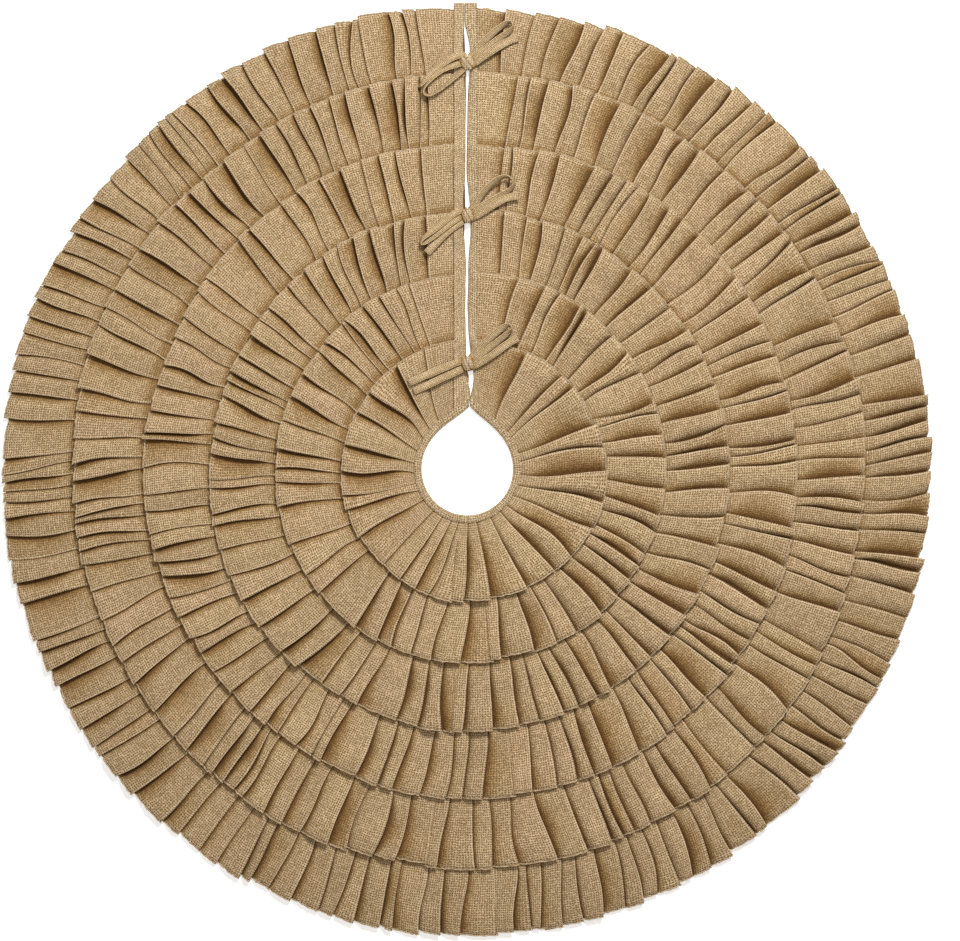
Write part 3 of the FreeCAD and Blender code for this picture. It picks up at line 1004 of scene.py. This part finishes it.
def strand(name, place, side, route, width=tie_width, thick=tie_thick, cut_end=False):
    """One strand: route holds x, y, height above the knot's middle, and roll in degrees."""
    line = curve_through(route, 7)
    path = line[:, :3] * MM + np.array([0.0, place, strand_height])
    roll = np.radians(line[:, 3])
    lean = np.abs(np.sin(roll)) * width / 2 + np.abs(np.cos(roll)) * thick / 2
    from_knot = np.hypot(path[:, 0], path[:, 1] - place)
    for i in range(len(path)):
        floor_under = cloth_height(path[i, 0], path[i, 1], 5.5 * MM) + 0.9 * MM
        rest = floor_under + lean[i]
        free = smooth((from_knot[i] - 6.0 * MM) / (12.0 * MM))
        path[i, 2] = max(path[i, 2], rest * free + path[i, 2] * (1 - free))
    kernel = np.array([1.0, 2.0, 3.0, 2.0, 1.0]) / 9.0
    padded = np.pad(path[:, 2], 2, "edge")
    path[:, 2] = np.maximum(np.convolve(padded, kernel, "valid"), path[:, 2] - 0.6 * MM)
    ahead = np.gradient(path, axis=0)
    ahead /= np.linalg.norm(ahead, axis=1)[:, None]
    level = np.cross(np.array([0.0, 0.0, 1.0]), ahead)
    level /= np.linalg.norm(level, axis=1)[:, None]
    rise = np.cross(ahead, level)
    wide = level * np.cos(roll)[:, None] + rise * np.sin(roll)[:, None]
    deep = rise * np.cos(roll)[:, None] - level * np.sin(roll)[:, None]
    share = np.linspace(0.0, 1.0, len(path))
    narrow = 1.0 - 0.42 * np.exp(-((from_knot / (7.0 * MM)) ** 2))
    plump = np.ones(len(path))
    if cut_end:
        plump = 1.0 - 0.4 * smooth((share - 0.8) / 0.2)
    crumple = 1.0 + 0.06 * slow_noise(len(path), 5)
    across = np.concatenate([section_across, section_across[::-1][1:]])
    through = np.concatenate([section_thick, -section_thick[::-1][1:]])
    half_width = (width / 2 * narrow * crumple)[None, :, None]
    half_thick = (thick / 2 * plump)[None, :, None]
    points = path[None] + across[:, None, None] * wide[None] * half_width
    points = points + through[:, None, None] * deep[None] * half_thick
    run = np.concatenate([[0.0], np.cumsum(np.linalg.norm(np.diff(path, axis=0), axis=1))])
    section_steps = np.hypot(np.diff(across) * width / 2, np.diff(through) * thick / 2)
    girth = np.concatenate([[0.0], np.cumsum(section_steps)])
    flat = np.stack(np.broadcast_arrays(run[None, :], girth[:, None]), axis=-1)
    # painted shade in the groove beside the stitched lip, the lip's top painted lighter, and painted
    # shade where the strand goes into the knot
    lip = np.exp(-(((across - 0.74) / 0.07) ** 2)) * 0.75 - 0.35 * (across > 0.84) * (through > 0)
    painted_knot_shade = 0.55 * np.exp(-(((from_knot - 7.0 * MM) / (3.5 * MM)) ** 2))
    depth = np.clip(lip[:, None] + painted_knot_shade[None, :], -1.0, 1.0)
    piece = cloth(name, points, flat, tie_burlap, 0.5 * MM, {"painted_shade_highlight_and_wear": depth})
    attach(piece, "flap_" + side)
    return piece, (float(girth[-1]), float(run[-1]))


# %% [markdown]
# A real knot is one tie wrapped tightly round the other. What shows is a small rounded bundle
# with two grooves between its turns, so a rounded block with grooves pressed into it stands for
# the wraps. It is cut flat along the slit, because each flap takes its own half along.

# %% Half a knot
knot_height = 13.6 * MM


def signed_power(value, power):
    """A power that keeps the sign, which makes a round section squarer."""
    return np.sign(value) * np.abs(value) ** power


def half_knot(name, place, side, wrap_angle, half_wide, half_long):
    """One side of a tight wrap round the strands, cut off flat where the other half begins."""
    along_count, around_count = 40, 34
    lengthwise = np.linspace(-math.pi / 2, math.pi / 2, around_count)[:, None]
    around = np.linspace(0.0, 2 * math.pi, along_count, endpoint=False)[None, :]
    a = signed_power(np.sin(lengthwise), 0.85) + 0 * around
    b = signed_power(np.cos(lengthwise), 0.8) * signed_power(np.cos(around), 0.9)
    c = signed_power(np.cos(lengthwise), 0.8) * signed_power(np.sin(around), 0.9)
    first_groove = np.exp(-(((a - 0.10 + 0.30 * b) / 0.12) ** 2))
    second_groove = np.exp(-(((a + 0.60 + 0.25 * b) / 0.11) ** 2))
    coil = 1.0 - 0.16 * first_groove - 0.11 * second_groove
    # painted shade in the two grooves between the turns, and the rest of the knot painted a little
    # lighter
    depth = 0.85 * first_groove + 0.6 * second_groove - 0.25
    a = a * half_wide
    b = b * coil * half_long
    c = c * coil * 6.3 * MM
    tilt = math.radians(wrap_angle)
    x = a * math.cos(tilt) - b * math.sin(tilt)
    y = a * math.sin(tilt) + b * math.cos(tilt)
    wall = 0.3 * MM
    x = np.minimum(x, -wall) if side == "left" else np.maximum(x, wall)
    points = np.stack([x, y + place, c + knot_height], axis=-1)
    index = np.arange(around_count * along_count).reshape(around_count, along_count)
    follow = np.roll(index, -1, axis=1)
    quads = np.stack([index[:-1], follow[:-1], follow[1:], index[1:]], axis=-1).reshape(-1, 4)
    mesh = bpy.data.meshes.new(name)
    mesh.from_pydata(points.reshape(-1, 3).tolist(), [], quads.tolist())
    mesh.polygons.foreach_set("use_smooth", np.ones(len(quads), bool))
    unfolded = mesh.uv_layers.new(name="cloth")
    spots = points.reshape(-1, 3)[quads.ravel()]
    unfolded.data.foreach_set("uv", spots[:, :2].astype(np.float32).ravel())
    shading = mesh.attributes.new("painted_shade_highlight_and_wear", "FLOAT", "POINT")
    shading.data.foreach_set("value", depth.astype(np.float32).ravel())
    mesh.materials.append(tie_burlap)
    knot = bpy.data.objects.new(name, mesh)
    scene.collection.objects.link(knot)
    bpy.ops.object.select_all(action="DESELECT")
    bpy.context.view_layer.objects.active = knot
    knot.select_set(True)
    bpy.ops.object.mode_set(mode="EDIT")
    bpy.ops.mesh.select_all(action="SELECT")
    bpy.ops.mesh.remove_doubles(threshold=0.01 * MM)
    bpy.ops.mesh.normals_make_consistent(inside=False)
    bpy.ops.object.mode_set(mode="OBJECT")
    bpy.ops.object.shade_smooth_by_angle(angle=math.radians(50))
    knot.select_set(False)
    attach(knot, "flap_" + side)
    print(name, "faces", len(knot.data.polygons))
    return knot


# %% [markdown]
# Every bow is tied by hand and none is like another. Each route starts inside the knot, and a loop
# goes out, turns over on its edge and comes back beside itself. The last left loop is a cut end
# instead, because that bow is tied with a single loop.

# %% Routes of the three bows
left_loops = [
    [(-2, 0, -2, 10), (-11, -2, 0, 25), (-32, -10, 4, 35), (-49, -24, 4, 55), (-57, -38, 3, 88),
     (-50, -43, 2, 110), (-32, -33, 1, 118), (-9, -13, 0, 130), (-3, -5, -1, 150)],
    [(-2, 3, -2, 10), (-10, 6, 0, 15), (-24, -3, 4, 25), (-41, -17, 4, 35), (-57, -30, 4, 60),
     (-60, -37, 3, 95), (-54, -35, 2, 125), (-36, -22, 1, 140), (-14, -5, 0, 155), (-4, -1, -1, 165)],
    [(-2, 3, -2, 0), (-10, 3, 0, 5), (-32, -6, 3, 10), (-56, -16, 2, 8), (-76, -25, 1, 4)],
]
left_tails = [
    [(-2, 7, -2, 0), (-9, 10, 0, 5), (-21, 5, 4, 20), (-37, -6, 3, 30), (-52, -20, 2, 42),
     (-62, -33, 2, 70)],
    [(-2, -4, -3, 0), (-9, -9, -1, 5), (-25, -21, 3, 12), (-40, -36, 2, 10), (-53, -49, 1, 5)],
    [(-2, -3, -3, 0), (-9, -8, -1, 5), (-33, -19, 2, 8), (-54, -29, 2, 8), (-70, -36, 1, 4)],
]
right_loops = [
    [(2, 4, -2, 0), (9, 13, 0, 15), (24, 29, 4, 30), (41, 44, 5, 45), (54, 52, 5, 70),
     (59, 46, 4, 100), (52, 38, 3, 130), (36, 27, 1, 150), (12, 8, 0, 165), (3, 1, -1, 170)],
    [(2, 5, -2, 0), (9, 13, 0, 20), (22, 31, 5, 40), (38, 46, 6, 55), (52, 50, 6, 75),
     (60, 42, 5, 100), (55, 33, 3, 125), (37, 22, 1, 145), (13, 8, 0, 160), (3, 1, -1, 170)],
    [(2, 5, -2, 0), (9, 12, 0, 10), (24, 28, 4, 20), (41, 43, 5, 30), (53, 50, 5, 60),
     (57, 45, 4, 95), (51, 38, 3, 130), (36, 26, 2, 150), (13, 8, 0, 165), (3, 1, -1, 170)],
]
right_tails = [
    [(2, -3, -3, 0), (9, -1, -1, 5), (24, 9, 3, 12), (40, 20, 2, 10), (55, 28, 1, 6), (66, 32, 1, 2)],
    [(2, -3, -3, 0), (9, -2, -1, 5), (26, 8, 3, 10), (46, 20, 2, 8), (58, 24, 1, 5), (67, 25, 1, 2)],
    [(2, -5, -3, 0), (9, -3, -1, 5), (31, 10, 3, 10), (50, 24, 2, 10), (66, 34, 1, 4)],
]
knot_shapes = [  # tilt in degrees, half its width and half its length
    (24.0, 8.8 * MM, 11.2 * MM),
    (16.0, 7.0 * MM, 10.8 * MM),
    (12.0, 7.2 * MM, 10.2 * MM),
]

# %% [markdown]
# Six ties are made in one loop. The knot stands for the imported tie, and the loop and the tail are
# made as the folded strips that they are.

# %% Tie the three bows
for side, loops, tails in (("left", left_loops, left_tails), ("right", right_loops, right_tails)):
    for i, place in enumerate(knot_places):
        stem = "tie_%s_%d_" % (side, i + 1)
        knot = half_knot(stem + "knot", place, side, *knot_shapes[i])
        cut_short = side == "left" and i == 2
        loop, loop_size = strand(stem + "loop", place, side, loops[i], cut_end=cut_short)
        tail, tail_size = strand(stem + "tail", place, side, tails[i], cut_end=True)
        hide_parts("tie_%s_%d" % (side, i + 1))
        print(loop.name, [round(v, 3) for v in loop_size], tail.name, [round(v, 3) for v in tail_size])
